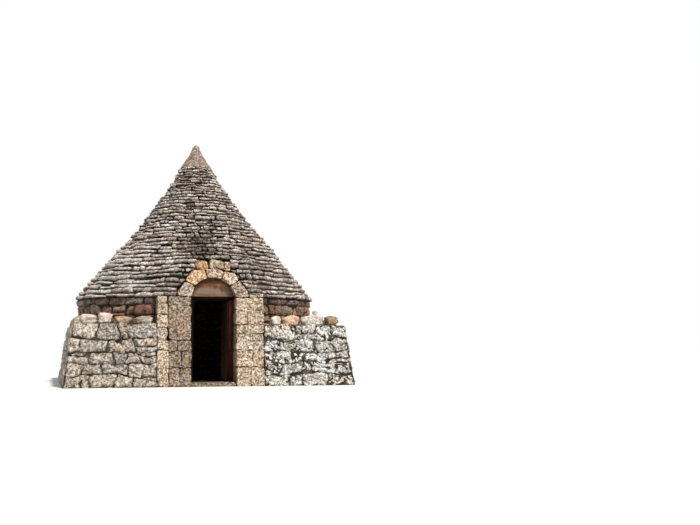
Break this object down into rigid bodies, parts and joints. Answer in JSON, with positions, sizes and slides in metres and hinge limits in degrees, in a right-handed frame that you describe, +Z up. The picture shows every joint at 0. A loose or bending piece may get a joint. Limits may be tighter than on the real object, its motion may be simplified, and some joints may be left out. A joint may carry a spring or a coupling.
{
  "type": "trullo house",
  "caption": "Dry-stone trullo with a cone of stone slabs over a corbelled dome, a round room in a battered square base, an arched stone doorway and a plank door standing open",
  "frame": {"origin": "On the ground under the tip of the cone, at the middle of the base block.", "axes": "+Z up, -Y out of the doorway, +X to the right of someone facing the door."},
  "size_m": [5.18, 5.18, 4.81],
  "materials": {
    "base_stone": "rough limestone rubble, lichened",
    "drum_stone": "rough reddish limestone rubble",
    "jamb_stone": "dressed porous limestone, weathered",
    "arch_stone": "dressed porous limestone, ochre",
    "roof_slabs": "split limestone slabs, grey with lichen",
    "cap_mortar": "trowelled lime mortar, lichened at the tip",
    "dome_stone": "rough limestone corbels",
    "coping_stone": "loose field stones, sun bleached",
    "frame_wood": "old painted wood, dark red-brown",
    "board_wood": "bare weathered boards",
    "hinge_iron": "rusty wrought iron",
    "leaf_wood": "old oiled planks, worn"
  },
  "bodies": {
    "house": {"base_front_left": "base_stone", "base_front_right": "base_stone", "base_left": "base_stone", "base_right": "base_stone", "base_back": "base_stone", "wall_front_left": "drum_stone", "wall_front_right": "drum_stone", "wall_left": "drum_stone", "wall_right": "drum_stone", "wall_back_left": "drum_stone", "wall_back_right": "drum_stone", "threshold": "jamb_stone", "left_pillar": "jamb_stone", "left_jamb": "jamb_stone", "right_jamb": "jamb_stone", "left_springer": "arch_stone", "left_voussoir": "arch_stone", "keystone": "arch_stone", "right_voussoir": "arch_stone", "right_springer": "arch_stone", "over_arch_stones": "arch_stone", "pillar_slab": "roof_slabs", "eave_courses": "roof_slabs", "lower_courses": "roof_slabs", "middle_courses": "roof_slabs", "upper_courses": "roof_slabs", "top_courses": "roof_slabs", "hood_courses": "roof_slabs", "mortar_cap": "cap_mortar", "dome_lower": "dome_stone", "dome_middle": "dome_stone", "dome_upper": "dome_stone", "dome_capstone": "dome_stone", "coping_front_left": "coping_stone", "coping_front_right": "coping_stone", "coping_corners": "coping_stone", "left_post": "frame_wood", "right_post": "frame_wood", "transom": "frame_wood", "tympanum_lower_board": "board_wood", "tympanum_upper_board": "board_wood", "hinge_pintles": "hinge_iron"},
    "door_leaf": {"door_planks": "leaf_wood", "door_ledges": "leaf_wood", "strap_hinges": "hinge_iron"}
  },
  "joints": [
    {"name": "door_swing", "type": "hinge", "parent": "house", "child": "door_leaf", "pos_m": [0.356, -2.05665, 0.785], "axis": [0, 0, 1], "range_deg": [0, 90]}
  ]
}
